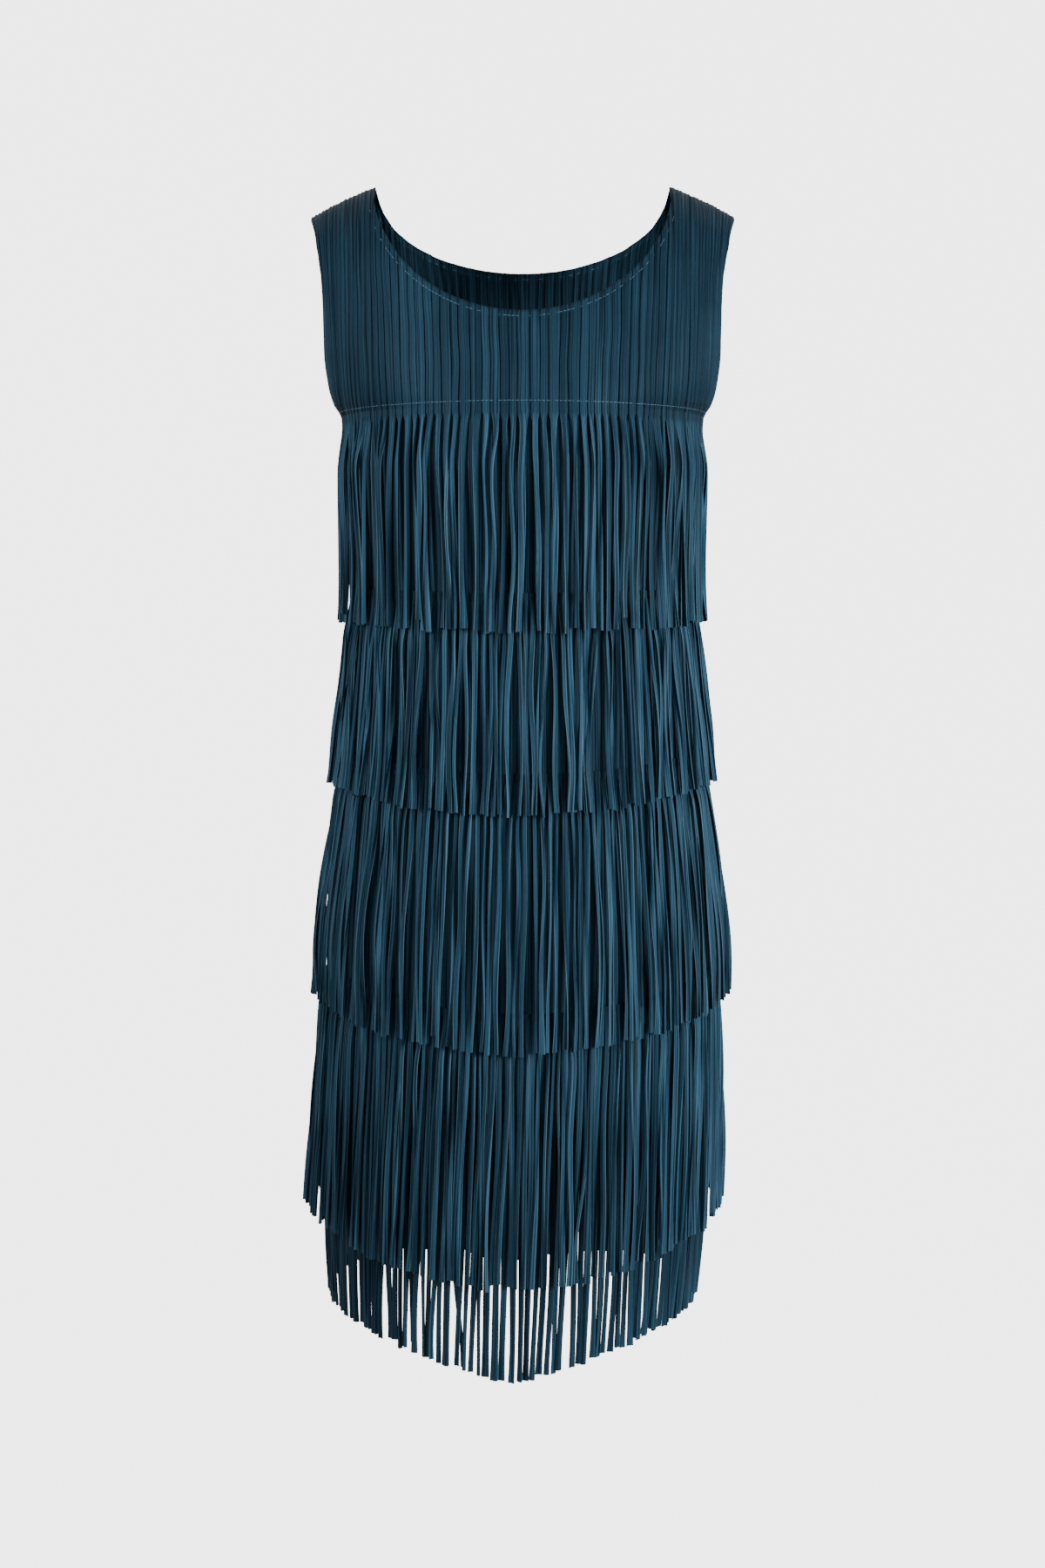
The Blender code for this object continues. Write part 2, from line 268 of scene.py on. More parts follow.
def column_at(name, heights):
    """One column of the sections at any heights, eased between its rows without overshoot."""
    k = SECTION_COLUMNS.index(name)
    z = np.array([row[0] for row in SECTIONS])
    v = np.array([row[k] for row in SECTIONS])
    if name.endswith("_edge"):
        return np.interp(-heights, -z, v)
    step = np.diff(z)
    slope = np.diff(v) / step
    bend = np.empty_like(v)
    bend[0], bend[-1] = slope[0], slope[-1]
    product = slope[:-1] * slope[1:]
    total = np.where(product > 0, slope[:-1] + slope[1:], 1)
    bend[1:-1] = np.where(product > 0, 2 * product / total, 0)
    k = np.clip(np.searchsorted(-z, -heights, side="right") - 1, 0, len(z) - 2)
    u = (heights - z[k]) / step[k]
    return (
        v[k] * (1 + 2 * u) * (1 - u) ** 2
        + bend[k] * step[k] * u * (1 - u) ** 2
        + v[k + 1] * u * u * (3 - 2 * u)
        + bend[k + 1] * step[k] * u * u * (u - 1)
    )


class Figure:
    """One side of the dress as a smooth surface, laid out by share of each level line and by height."""

    LEVELS = 700
    SHARES = 201
    ANGLES = 91

    def __init__(self, side):
        self.top, self.bottom = SECTIONS[0][0], SECTIONS[-1][0]
        self.outward = SIDES[side]
        heights = np.linspace(self.top, self.bottom, self.LEVELS)
        size = {name: column_at(name, heights)[:, None] for name in SECTION_COLUMNS[1:]}
        angle = np.linspace(0, math.pi / 2, self.ANGLES)[None, :]
        edge, middle = size[side + "_edge"], size[side]
        line = np.stack(
            [
                size["half_width"] * np.sin(angle),
                self.outward * (edge + (middle - edge) * np.cos(angle) + SEAM_GAP / 2),
                heights[:, None] + size["rise"] * np.sin(angle) ** 2,
            ],
            axis=-1,
        )
        covered = np.zeros(line.shape[:2])
        covered[:, 1:] = np.cumsum(np.linalg.norm(np.diff(line, axis=1), axis=-1), axis=1)
        self.half_lengths = covered[:, -1]
        self.shift = size["shift"][:, 0]
        self.half_widths = size["half_width"][:, 0]
        self.angle_shares = covered / covered[:, -1:]
        shares = np.linspace(0, 1, self.SHARES)
        self.points = np.empty((self.LEVELS, self.SHARES, 3))
        for k in range(self.LEVELS):
            for axis in range(3):
                self.points[k, :, axis] = np.interp(shares, self.angle_shares[k], line[k, :, axis])
        normals = np.cross(np.gradient(self.points, axis=1), np.gradient(self.points, axis=0))
        normals /= np.linalg.norm(normals, axis=-1, keepdims=True)
        self.normals = normals * np.sign(normals[..., 1:2] * self.outward + 1e-12)

    def row(self, height):
        """A height as a number of levels from the top, whole or not."""
        return np.clip((self.top - np.asarray(height)) / (self.top - self.bottom), 0, 1) * (self.LEVELS - 1)

    def level(self, values, height):
        """One value for each level, read at a height."""
        return np.interp(self.row(height), np.arange(self.LEVELS), values)

    def at(self, share, height):
        """Points of the surface, with the directions outward and across, towards +X."""
        share, height = np.broadcast_arrays(np.asarray(share, float), np.asarray(height, float))
        row, column = self.row(height), np.clip(abs(share), 0, 1) * (self.SHARES - 1)
        points, normals = lookup(self.points, row, column), lookup(self.normals, row, column)
        hand = np.where(share < 0, -1.0, 1.0)
        points[..., 0] = points[..., 0] * hand + self.level(self.shift, height)
        normals[..., 0] *= hand
        normals /= np.linalg.norm(normals, axis=-1, keepdims=True)
        across = np.cross([0.0, 0.0, -self.outward], normals)
        return points, normals, across / np.linalg.norm(across, axis=-1, keepdims=True)

    def width_at_seam(self, share):
        """How far to the side a share of the yoke's seam reaches."""
        row = int(round(float(self.row(YOKE_SEAM))))
        angle = np.interp(share, self.angle_shares[row], np.linspace(0, math.pi / 2, self.ANGLES))
        return self.half_widths[row] * np.sin(angle)

    def share_at(self, width, height):
        """The share of the level line that reaches so far to the side."""
        angle = np.arcsin(np.clip(width / self.level(self.half_widths, height), 0, 1))
        column = angle / (math.pi / 2) * (self.ANGLES - 1)
        return lookup(self.angle_shares[..., None], self.row(height), column)[..., 0]

    def half_length(self, height):
        """The length of the level line from the centre to the side."""
        return self.level(self.half_lengths, height)


def lookup(grid, row, column):
    """A grid's values between its rows and columns."""
    i = np.minimum(row.astype(int), grid.shape[0] - 2)
    j = np.minimum(column.astype(int), grid.shape[1] - 2)
    u, v = (row - i)[..., None], (column - j)[..., None]
    upper = grid[i, j] * (1 - v) + grid[i, j + 1] * v
    lower = grid[i + 1, j] * (1 - v) + grid[i + 1, j + 1] * v
    return upper * (1 - u) + lower * u


FIGURES = {side: Figure(side) for side in SIDES}


def as_cut(side, share, height):
    """The lower cloth keeps its share of the level line all the way down."""
    return share + 0 * height


def on_yoke(side, share, height):
    """The share that a pleat of the yoke has at a height, from the one that it has at the yoke's seam."""
    figure = FIGURES[side]
    reach = abs(share)
    at_seam = figure.width_at_seam(reach)
    narrow, wide = figure.level(figure.half_widths, YOKE_SEAM), figure.half_widths[0]
    beyond = (reach - STRAIGHT_SHARE) / (1 - STRAIGHT_SHARE)
    at_top = np.where(
        reach > STRAIGHT_SHARE,
        STRAIGHT_WIDTH + (wide - STRAIGHT_WIDTH) * beyond,
        STRAIGHT_WIDTH * at_seam / figure.width_at_seam(STRAIGHT_SHARE),
    )
    by_width = (figure.level(figure.half_widths, height) - narrow) / (wide - narrow)
    by_height = (height - YOKE_SEAM) / (SHOULDER - YOKE_SEAM)
    spread = by_height + (by_width - by_height) * np.clip(beyond, 0, 1) ** 2
    found = figure.share_at(at_seam + (at_top - at_seam) * spread, height)
    return np.where(reach >= 1, share, np.copysign(found, share))


def neckline_tops(side, shares):
    """Where each line of cloth starts: at the shoulder seam, or at the neckline if that is lower."""
    shares = np.asarray(shares, float)

    def above_neckline(heights):
        points = FIGURES[side].at(on_yoke(side, shares, heights), heights)[0]
        inside = 1 - (points[..., 0] / NECK_HALF_WIDTH) ** 2
        edge = NECK_TOP - NECK_DROP[side] * np.sqrt(np.maximum(inside, 0))
        return (inside > 0) & (points[..., 2] > edge)

    high = np.full(shares.shape, SHOULDER)
    low = np.full(shares.shape, YOKE_SEAM)
    cut = above_neckline(high)
    for _ in range(30):
        middle = (high + low) / 2
        above = above_neckline(middle)
        high, low = np.where(above, middle, high), np.where(above, low, middle)
    return np.where(cut, (high + low) / 2, SHOULDER)


def wander(seed, u, v, cells_u, cells_v):
    """A soft random field between -1 and 1, for u and v from 0 to 1."""
    grid = np.random.default_rng(seed).uniform(-1, 1, (cells_u + 2, cells_v + 2))
    u, v = np.clip(u, 0, 1) * cells_u, np.clip(v, 0, 1) * cells_v
    i, j = u.astype(int), v.astype(int)
    fu, fv = ease(0, 1, u - i), ease(0, 1, v - j)
    near = grid[i, j] * (1 - fv) + grid[i, j + 1] * fv
    far = grid[i + 1, j] * (1 - fv) + grid[i + 1, j + 1] * fv
    return near * (1 - fu) + far * fu


def pleat_plan(seed, pleats, centre_pitch, side_pitch):
    """The pleats of one panel: their edges as shares, where each one's crest lies, and how deep it is."""
    rng = np.random.default_rng(seed)
    place = (np.arange(pleats) + 0.5) / pleats * 2 - 1
    width = centre_pitch + (side_pitch - centre_pitch) * abs(place)
    width *= rng.uniform(*PITCH_SPREAD, pleats)
    edges = np.concatenate([[0], np.cumsum(width)])
    kind = rng.choice(len(CREST_PLACES), pleats, p=CREST_ODDS)
    return {
        "pleats": pleats,
        "edges": 2 * edges / edges[-1] - 1,
        "crest": np.array(CREST_PLACES)[kind] + rng.uniform(-CREST_SPREAD, CREST_SPREAD, pleats),
        "depth": rng.uniform(*DEPTH_SPREAD, pleats),
        "tone": rng.uniform(-1, 1, pleats),
        "crimp": rng.uniform(-1, 1, (pleats, 2)),
    }


def pleat_columns(plan):
    """The columns of a pleated grid: each one's pleat, phase across it, rise from -1 to 1, and crimp.

    Two faces meet at the crest, each with a faint crease along its middle, and a narrow valley ends them.
    """
    crest, depth = plan["crest"], plan["depth"]
    lip = VALLEY_SHARE + 0 * crest
    phase = np.stack([0 * crest, lip, (lip + crest) / 2, crest, (crest + 1 - lip) / 2, 1 - lip], axis=1)
    slope = (FACE_RISE + 1) / 2
    crimp = np.zeros(phase.shape)
    crimp[:, 2], crimp[:, 4] = plan["crimp"].T
    rise = np.outer(depth, [-1.0, FACE_RISE, slope, 1.0, slope, FACE_RISE]) + 0.14 * crimp
    rise[:, 0] = -np.minimum(depth, np.roll(depth, 1))
    pleat = np.repeat(np.arange(plan["pleats"]), phase.shape[1])
    columns = (pleat, plan["pleats"] - 1), (phase, 1.0), (rise, -1.0), (crimp, 0.0)
    return [np.append(values.ravel(), end) for values, end in columns]


def share_in(plan, pleat, phase):
    """The share at a phase across a pleat."""
    left, right = plan["edges"][pleat], plan["edges"][pleat + 1]
    return left + (right - left) * phase


def open_grid(columns, rows):
    """A flat grid as a bmesh, its first row at the top and its first column on the left."""
    bm = bmesh.new()
    bmesh.ops.create_grid(bm, x_segments=columns, y_segments=rows, size=0.5)
    return bm


def grid_places(bm, columns, rows):
    """The column and the row of each vertex."""
    flat = np.array([v.co[:2] for v in bm.verts])
    return np.rint((flat[:, 0] + 0.5) * columns).astype(int), np.rint((0.5 - flat[:, 1]) * rows).astype(int)


def keep_edges_crisp(mesh):
    """Mark the cloth's cut edges sharp, so that its faces aren't shaded round them."""
    edge_of_corner = np.empty(len(mesh.loops), dtype=np.int32)
    mesh.loops.foreach_get("edge_index", edge_of_corner)
    sharp = np.empty(len(mesh.edges), dtype=bool)
    mesh.edges.foreach_get("use_edge_sharp", sharp)
    sharp |= np.bincount(edge_of_corner, minlength=len(sharp)) == 1
    mesh.edges.foreach_set("use_edge_sharp", sharp)


def finish_cloth(name, side, bm, points, material, attributes):
    """The grid with its points in place, as a thin shell with its outer face outward."""
    if side == "back":
        bmesh.ops.reverse_faces(bm, faces=bm.faces)
    mesh = bpy.data.meshes.new(name)
    bm.to_mesh(mesh)
    bm.free()
    mesh.vertices.foreach_set("co", np.ascontiguousarray(points, dtype=np.float32).ravel())
    for key, values in attributes.items():
        kind, field = ("FLOAT_VECTOR", "vector") if np.ndim(values) == 2 else ("FLOAT", "value")
        layer = mesh.attributes.new(key, kind, "POINT")
        layer.data.foreach_set(field, np.ascontiguousarray(values, dtype=np.float32).ravel())
    mesh.update()
    mesh.shade_smooth()
    mesh.set_sharp_from_angle(angle=SHARP_FOLD)
    keep_edges_crisp(mesh)
    piece = bpy.data.objects.new(name, mesh)
    bpy.context.scene.collection.objects.link(piece)
    piece.data.materials.append(material)
    shell = piece.modifiers.new("cloth", "SOLIDIFY")
    shell.thickness = CLOTH_THICKNESS
    shell.offset = 0
    return piece


def ripples(seed, share, heights):
    """The cloth's small unevenness: how far it slips along the level line, its pleats' depth, its lift."""
    u, v = (share + 1) / 2, (SHOULDER - heights) / (SHOULDER - SKIRT_END)
    slip = wander(seed, u, v, 60, 26) * SLIP_SHARE * ease(1, 0.96, abs(share))
    return slip, 1 + UNEVEN_DEPTH * wander(seed + 1, u, v, 44, 16), wander(seed + 2, u, v, 14, 9) * WAVE_RISE


def along_pleats(pleat, phase, down, seed):
    """Where each point is on its pleats. The finish's fine creases start elsewhere in each panel."""
    return np.stack([pleat + phase + 1.7 * seed, down, 0 * down], axis=1)


def pleated_panel(name, side, plan, hang, tops, bottom, rows, material, seed, relief, shade):
    """A panel of pleated cloth.

    hang gives each line's share on the way down, relief each point's share of the pleats' full depth and its
    lift, and shade how much painted shade darkens the point's colour.
    """
    pleat, phase, rise, _ = pleat_columns(plan)
    columns = len(pleat) - 1
    bm = open_grid(columns, rows)
    i, j = grid_places(bm, columns, rows)
    share = share_in(plan, pleat, phase)[i]
    top = tops[i]
    hem = np.array(HEM_ROWS) * MM
    last = len(hem) - 1
    below_hem = hem[-1] + (top - bottom - hem[-1]) * np.clip((j - last) / (rows - last), 0, 1)
    down = np.where(j < last, hem[np.minimum(j, last)], below_hem)
    heights = top - down
    slip, unevenness, wave_lift = ripples(seed, share, heights)
    scale, lift = relief(heights, down)
    v = (SHOULDER - heights) / (SHOULDER - SKIRT_END)
    points, normals, across = FIGURES[side].at(hang(side, np.clip(share + slip, -1, 1), heights), heights)
    wave = wander(seed + 3, 0 * v, v, 1, 46) + 0.6 * wander(seed + 4, 0 * v, v, 1, 90)
    edge = ease(0.93, 1, abs(share)) * ease(-0.158, -0.13, heights) * ease(SHOULDER, 0.022, heights)
    points = points + normals * (PLEAT_RISE * rise[i] * scale * unevenness + lift + wave_lift)[:, None]
    points += across * (np.sign(share) * wave * edge * ARMHOLE_WAVE)[:, None]
    attributes = {
        "fold": rise[i],
        "tone": plan["tone"][pleat[i]],
        "shade": shade(heights, down),
        "creases": along_pleats(pleat[i], phase[i], SHOULDER - heights, seed),
    }
    return finish_cloth(name, side, bm, points, material, attributes)


class Strands:
    """Random sizes for a tier's strands: one for each strand, or one for each group that clings together."""

    def __init__(self, seed, count, strand):
        """strand says which strand each point of the mesh lies on."""
        self.rng = np.random.default_rng(seed)
        self.count, self.strand = count, strand
        self.first, self.last = np.zeros(count, int), np.zeros(count, int)
        k = 0
        while k < count:
            end = min(k + 1 + int(self.rng.choice(len(GROUP_SHARES), p=GROUP_SHARES)), count) - 1
            self.first[k : end + 1], self.last[k : end + 1] = k, end
            k = end + 1

    def each(self, low, high):
        """A value for each strand."""
        return self.rng.uniform(low, high, self.count)[self.strand]

    def by_group(self, low, high):
        """A value for each group."""
        return self.rng.uniform(low, high, self.count)[self.first][self.strand]

    def few(self, share, low, high):
        """A value for a share of the strands, and 0 for the others."""
        chosen = self.rng.uniform(0, 1, self.count) < share
        return np.where(chosen, self.rng.uniform(low, high, self.count), 0)[self.strand]

    def wave(self, reach, turns, t):
        """A wave down each strand, with the range of how far it goes and of how often it turns."""
        return self.each(*reach) * np.sin(2 * math.pi * (self.each(*turns) * t + self.each(0, 1)))

    def layer(self):
        """Which of three layers each strand of a group lies in."""
        return ((np.arange(self.count) - self.first) % 3)[self.strand]


def slit_cloth(plan):
    """A grid of cloth, slit along its valleys below the band.

    With it come its points' columns and rows, and each one's strand and phase across it.
    """
    count = plan["pleats"]
    phase = pleat_columns(plan)[1]
    columns, rows = len(phase) - 1, BAND_ROWS + STRAND_ROWS
    bm = open_grid(columns, rows)

    def on_slit(edge):
        a, b = (v.co for v in edge.verts)
        strand = (a.x + 0.5) * count
        upright = abs(a.x - b.x) < 0.1 / columns
        below_band = (0.5 - max(a.y, b.y)) * rows > BAND_ROWS - 0.5
        return upright and below_band and abs(strand - round(strand)) < 0.01

    bmesh.ops.split_edges(bm, edges=[e for e in bm.edges if len(e.link_faces) == 2 and on_slit(e)])
    i, j = grid_places(bm, columns, rows)
    middle = [sum(f.calc_center_median().x for f in v.link_faces) / len(v.link_faces) for v in bm.verts]
    strand = np.clip(((np.array(middle) + 0.5) * count).astype(int), 0, count - 1)
    per_strand = columns // count
    phase_here = np.where(i == (strand + 1) * per_strand, 1.0, phase[i])
    return bm, i, j, strand, np.where(i == strand * per_strand, 0.0, phase_here)


def creased_face(reach, face, turn, crease):
    """How far a face of a folded strand goes sideways and back, with a crease along its middle."""
    inner, outer = np.minimum(reach, FACE_CREASE) * face, np.maximum(reach - FACE_CREASE, 0) * face
    sideways = inner * np.cos(turn - crease) + outer * np.cos(turn + crease)
    return sideways, inner * np.sin(turn - crease) + outer * np.sin(turn + crease)


def folded_strand(strands, tier, crest, phase, crimp, cloth, fallen, t):
    """Each point's place across a strand folded along its crest and turned: how far sideways and outward."""
    fold_crest = 0.5 + (crest - 0.5) * 0.6
    left_face, right_face = cloth * fold_crest, cloth * (1 - fold_crest)
    wide, narrow = np.radians(strands.each(*WIDE_FACE_TURN)), np.radians(strands.each(*NARROW_FACE_TURN))
    left_turn, right_turn = np.where(crest > 0.5, wide, narrow), np.where(crest > 0.5, narrow, wide)
    left_reach = np.clip((crest - phase) / crest, 0, 1)
    left_u, left_n = creased_face(left_reach, left_face, left_turn, strands.each(-FACE_BEND, FACE_BEND))
    right_reach = np.clip((phase - crest) / (1 - crest), 0, 1)
    right_u, right_n = creased_face(right_reach, right_face, right_turn, strands.each(-FACE_BEND, FACE_BEND))
    u = right_u - left_u + np.where(crest > 0.5, 0.42 * left_face, -0.42 * right_face)
    u *= 1 + TIP_FLARE * ease(0.9, 1, t)
    n = FOLD_LIFT + CRIMP_LIFT * crimp - EDGE_CURL * (abs(2 * phase - 1) > 0.99) - left_n - right_n
    turn = tier["twist"] * (strands.each(-1, 1) + strands.wave((0.3, 1.4), (0.3, 1.1), t))
    turn *= ease(0, TURN_LENGTH, fallen)
    return u * np.cos(turn) - n * np.sin(turn), u * np.sin(turn) + n * np.cos(turn)


def fringe(name, side, tier, plan, material, seed, panel_seed, relief):
    """A tier of fringe: a narrow band of pleated cloth, slit along its valleys into strands that fold up."""
    bm, i, j, strand, phase = slit_cloth(plan)
    rise, crimp = (values[i] for values in pleat_columns(plan)[2:])
    strands = Strands(seed, plan["pleats"], strand)
    figure = FIGURES[side]

    t = (np.clip(j - BAND_ROWS, 0, None) / STRAND_ROWS) ** ROW_SPACING
    short = strands.few(*SHORT_STRANDS)
    spread = strands.each(-LENGTH_SPREAD, LENGTH_SPREAD) + strands.by_group(-LENGTH_SPREAD, LENGTH_SPREAD)
    length = tier["length"] + (spread - short) * MM
    centre = share_in(plan, strand, 0.5)
    if tier["seam"] == SKIRT_END:
        length = length - HEM_LIFT * np.sin(math.pi * abs(centre) ** 0.85)
    fallen = length * t
    in_band = j <= BAND_ROWS
    band_height = tier["seam"] - BAND * np.clip(j / BAND_ROWS, 0, 1)
    height = np.where(in_band, band_height, tier["seam"] - BAND - fallen)
    folded = 1 - np.exp(-((fallen / tier["fold"]) ** tier["fold_power"]))

    half = figure.half_length(height)
    group_centre = ((plan["edges"][strands.first] + plan["edges"][strands.last + 1]) / 2)[strand]
    pull = strands.by_group(0.1, 1) * tier["cling"]
    pull *= ease(0.04 + 2 * tier["fold"], 0.8, t) - 0.3 * ease(0.8, 1, t)
    drift = strands.by_group(-1, 1) * tier["drift"] + strands.each(-OWN_DRIFT, OWN_DRIFT) * MM
    sway = strands.wave(SWAY, (0.4, 1.5), t) * MM * ease(0, 0.25, t)
    stray = strands.few(*STRAY_STRANDS) * MM * ease(0.5, 1, t)
    sideways = (drift * t**1.3 + sway + stray) / half
    at_share = centre + ((group_centre - centre) * pull + sideways) * folded
    spine, normals, across = figure.at(np.clip(at_share, -1, 1), height)

    fall = ease(0, 1, fallen / FREE_LENGTH)
    tip = tier["tip"] + tier["side_flare"] * abs(centre) ** 4
    stand = tier["root"] + (STAND - min(tier["root"], STAND)) * fall + (tip - STAND) * t
    stand += (strands.layer() * LAYER + strands.each(*LAYER_SPREAD) * MM) * fall * folded
    stand += strands.wave(LEAN, (0.5, 1.4), t) * MM * fall

    band_share = share_in(plan, strand, phase)
    slip, unevenness, wave_lift = ripples(panel_seed, band_share, height)
    pitch = plan["edges"][strand + 1] - plan["edges"][strand]
    flat_u = (phase - 0.5) * pitch * half
    flat_n = rise * PLEAT_RISE * relief(height) * unevenness + wave_lift
    cloth = np.hypot(pitch * figure.half_length(tier["seam"]), FOLD_DEPTH) * tier["width"]
    cloth *= 1 + SIDE_FULLNESS * ease(0.3, 0.8, abs(centre))
    fold_u, fold_n = folded_strand(strands, tier, plan["crest"][strand], phase, crimp, cloth, fallen, t)
    u = flat_u + (fold_u - flat_u) * folded
    n = flat_n + (fold_n - flat_n) * folded
    band_points, band_normals, _ = figure.at(np.clip(band_share + slip, -1, 1), height)
    points = np.where(
        in_band[:, None],
        band_points + band_normals * (tier["root"] + flat_n)[:, None],
        spine + across * u[:, None] + normals * (stand + n)[:, None],
    )
    # Painted shade under the tier above, darkest at the band and fading down the strands.
    shade = 0 * t
    if tier["covered"]:
        shade = TIER_SHADE * (1 - ease(0.3, 1.1, (BAND + fallen) / tier["covered"]))
    attributes = {
        "fold": rise,
        "tone": plan["tone"][strand],
        "shade": shade,
        "cut": (abs(2 * phase - 1) > 0.99) * folded,
        "loose": folded,
        "creases": along_pleats(strand, phase, SHOULDER - height, panel_seed),
    }
    return finish_cloth(name, side, bm, points, material, attributes)


def stitch_row(bm, points, normals, seed):
    """A row of short straight stitches along a line of points, some sunk between the pleats."""
    rng = np.random.default_rng(seed)
    run = np.concatenate([[0], np.cumsum(np.linalg.norm(np.diff(points, axis=0), axis=1))])
    count = int(run[-1] / STITCH_PITCH)
    starts = (run[-1] - count * STITCH_PITCH) / 2 + STITCH_PITCH * np.arange(count)
    for start in starts:
        depth = STITCH_RADIUS * rng.choice(STITCH_DEPTHS, p=STITCH_ODDS)
        sunk = normals[np.searchsorted(run, start)] * depth
        length = STITCH_LENGTH * rng.uniform(0.85, 1.1)
        places = start, start + length
        ends = [Vector([np.interp(s, run, points[:, axis]) for axis in range(3)]) for s in places]
        lie = (ends[1] - ends[0]).to_track_quat("Z", "Y").to_matrix().to_4x4()
        bmesh.ops.create_cone(
            bm,
            cap_ends=True,
            segments=6,
            radius1=STITCH_RADIUS,
            radius2=STITCH_RADIUS,
            depth=length,
            matrix=Matrix.Translation((ends[0] + ends[1]) / 2 + Vector(sunk)) @ lie,
        )


def add_node(tree, kind, settings=None, links=None):
    """A node with its settings and its inputs' values or links."""
    node = tree.nodes.new(kind)
    for key, value in (settings or {}).items():
        setattr(node, key, value)
    for key, value in (links or {}).items():
        if isinstance(value, bpy.types.NodeSocket):
            tree.links.new(value, node.inputs[key])
        else:
            node.inputs[key].default_value = value
    return node


def calculate(tree, operation, *values):
    """The result of a math node."""
    node = add_node(tree, "ShaderNodeMath", {"operation": operation}, dict(enumerate(values)))
    return node.outputs["Value"]


def linear(colour):
    """An sRGB hex colour as linear values."""
    channels = [int(colour[k : k + 2], 16) / 255 for k in (0, 2, 4)]
    return [c / 12.92 if c <= 0.04045 else ((c + 0.055) / 1.055) ** 2.4 for c in channels] + [1.0]


def pleated_polyester(name):
    """Polyester crepe, woven, dyed dull teal and heat-set in fine pleats.

    The eye sees a matt cloth with a faint real sheen and a painted highlight along the crests, painted shade
    deep in the folds and in deep places, painted highlights along the cut edges, loose strands painted
    brighter as sheen, creases pressed in as a small bump and painted as dark lines with bright edges, small
    faces painted lighter and darker, and a fine grain along the pleats. The grain is about 1 mm, coarser than
    real, so that it shows.
    """
    material = bpy.data.materials.new(name)
    material.use_nodes = True
    tree = material.node_tree
    shader = tree.nodes["Principled BSDF"]
    read = {
        key: add_node(tree, "ShaderNodeAttribute", {"attribute_name": key}).outputs
        for key in ("fold", "tone", "shade", "cut", "loose", "creases")
    }
    place = add_node(tree, "ShaderNodeTexCoord").outputs["Object"]

    # The dye, a little uneven from pleat to pleat, in clouds and in its grain, with painted shade deep in the
    # folds and a painted highlight on the crests.
    along = add_node(tree, "ShaderNodeMapping", links={"Vector": place, "Scale": (1, 1, 0.25)})
    grain_links = {"Vector": along.outputs["Vector"], "Scale": 900.0, "Detail": 2.0, "Roughness": 0.6}
    grain = add_node(tree, "ShaderNodeTexNoise", links=grain_links).outputs["Fac"]
    cloud = add_node(tree, "ShaderNodeTexNoise", links={"Vector": place, "Scale": 30.0, "Detail": 3.0})
    fold_shade_and_highlight = {"Value": read["fold"]["Fac"], "From Min": -1.0, "From Max": 1.0, "To Min": 0.0, "To Max": 0.62}
    depth = add_node(tree, "ShaderNodeMapRange", links=fold_shade_and_highlight).outputs["Result"]
    for value, weight in ((read["tone"]["Fac"], 0.14), (cloud.outputs["Fac"], 0.3), (grain, 0.25)):
        depth = calculate(tree, "MULTIPLY_ADD", value, weight, depth)
    # Painted shade and highlight: the fold's rise sends valleys to the deep end of the ramp and crests to the
    # bright end.
    dye_with_painted_fold_shading = add_node(tree, "ShaderNodeValToRGB", links={"Fac": depth})
    dye_with_painted_fold_shading.color_ramp.elements[0].color = linear(FOLD_SHADE_TEAL)
    dye_with_painted_fold_shading.color_ramp.elements[0].position = 0.05
    dye_with_painted_fold_shading.color_ramp.elements[1].color = linear(CREST_HIGHLIGHT_TEAL)
    dye_with_painted_fold_shading.color_ramp.elements[1].position = 1.0
    dye_with_painted_fold_shading.color_ramp.elements.new(0.5).color = linear(TEAL)

    # The fine creases: dark lines of painted shade with a painted highlight along their edge, and a small
    # bump, between long faces painted lighter and darker as if turned to and from the light.
    crease_scale = (CREASES_PER_PLEAT, 1 / CREASE_LENGTH, 1)
    pressed = add_node(
        tree, "ShaderNodeMapping", links={"Vector": read["creases"]["Vector"], "Scale": crease_scale}
    )
    cells = {"Vector": pressed.outputs["Vector"], "Scale": 1.0, "Randomness": 0.9}
    from_crease, facet = (
        add_node(tree, "ShaderNodeTexVoronoi", {"voronoi_dimensions": "2D", "feature": feature}, cells)
        for feature in ("DISTANCE_TO_EDGE", "F1")
    )
    # Painted shade in each crease line and a painted highlight just beside it.
    line = add_node(tree, "ShaderNodeFloatCurve", links={"Value": from_crease.outputs["Distance"]})
    curve = line.mapping.curves[0]
    for point, place_on_curve in zip(curve.points, ((0.0, 0.2), (1.0, 0.5))):
        point.location = place_on_curve
    for place_on_curve in ((0.07, 0.25), (0.16, 0.68), (0.28, 0.5)):
        curve.points.new(*place_on_curve)
    line.mapping.update()
    # Painted light and shade on the small faces, stronger on loose strands.
    any_tone = add_node(tree, "ShaderNodeSeparateColor", links={"Color": facet.outputs["Color"]})
    from_middle = calculate(tree, "SUBTRACT", any_tone.outputs["Red"], 0.5)
    loose = read["loose"]["Fac"]
    spread = add_node(
        tree,
        "ShaderNodeMapRange",
        links={"Value": loose, "To Min": 2 * PLEAT_FACETS, "To Max": 2 * STRAND_FACETS},
    )
    painted_facet_shading = calculate(tree, "MULTIPLY_ADD", from_middle, spread.outputs["Result"], 2.0)

    # What scales the dye: the painted creases and faces, the painted sheen on loose strands, and the painted
    # shade that deep places lie in.
    # Painted sheen: loose strands are painted brighter than the cloth they hang from.
    painted_loose_sheen = add_node(
        tree, "ShaderNodeMapRange", links={"Value": loose, "To Min": 1.0, "To Max": LOOSE_PAINTED_SHEEN}
    )
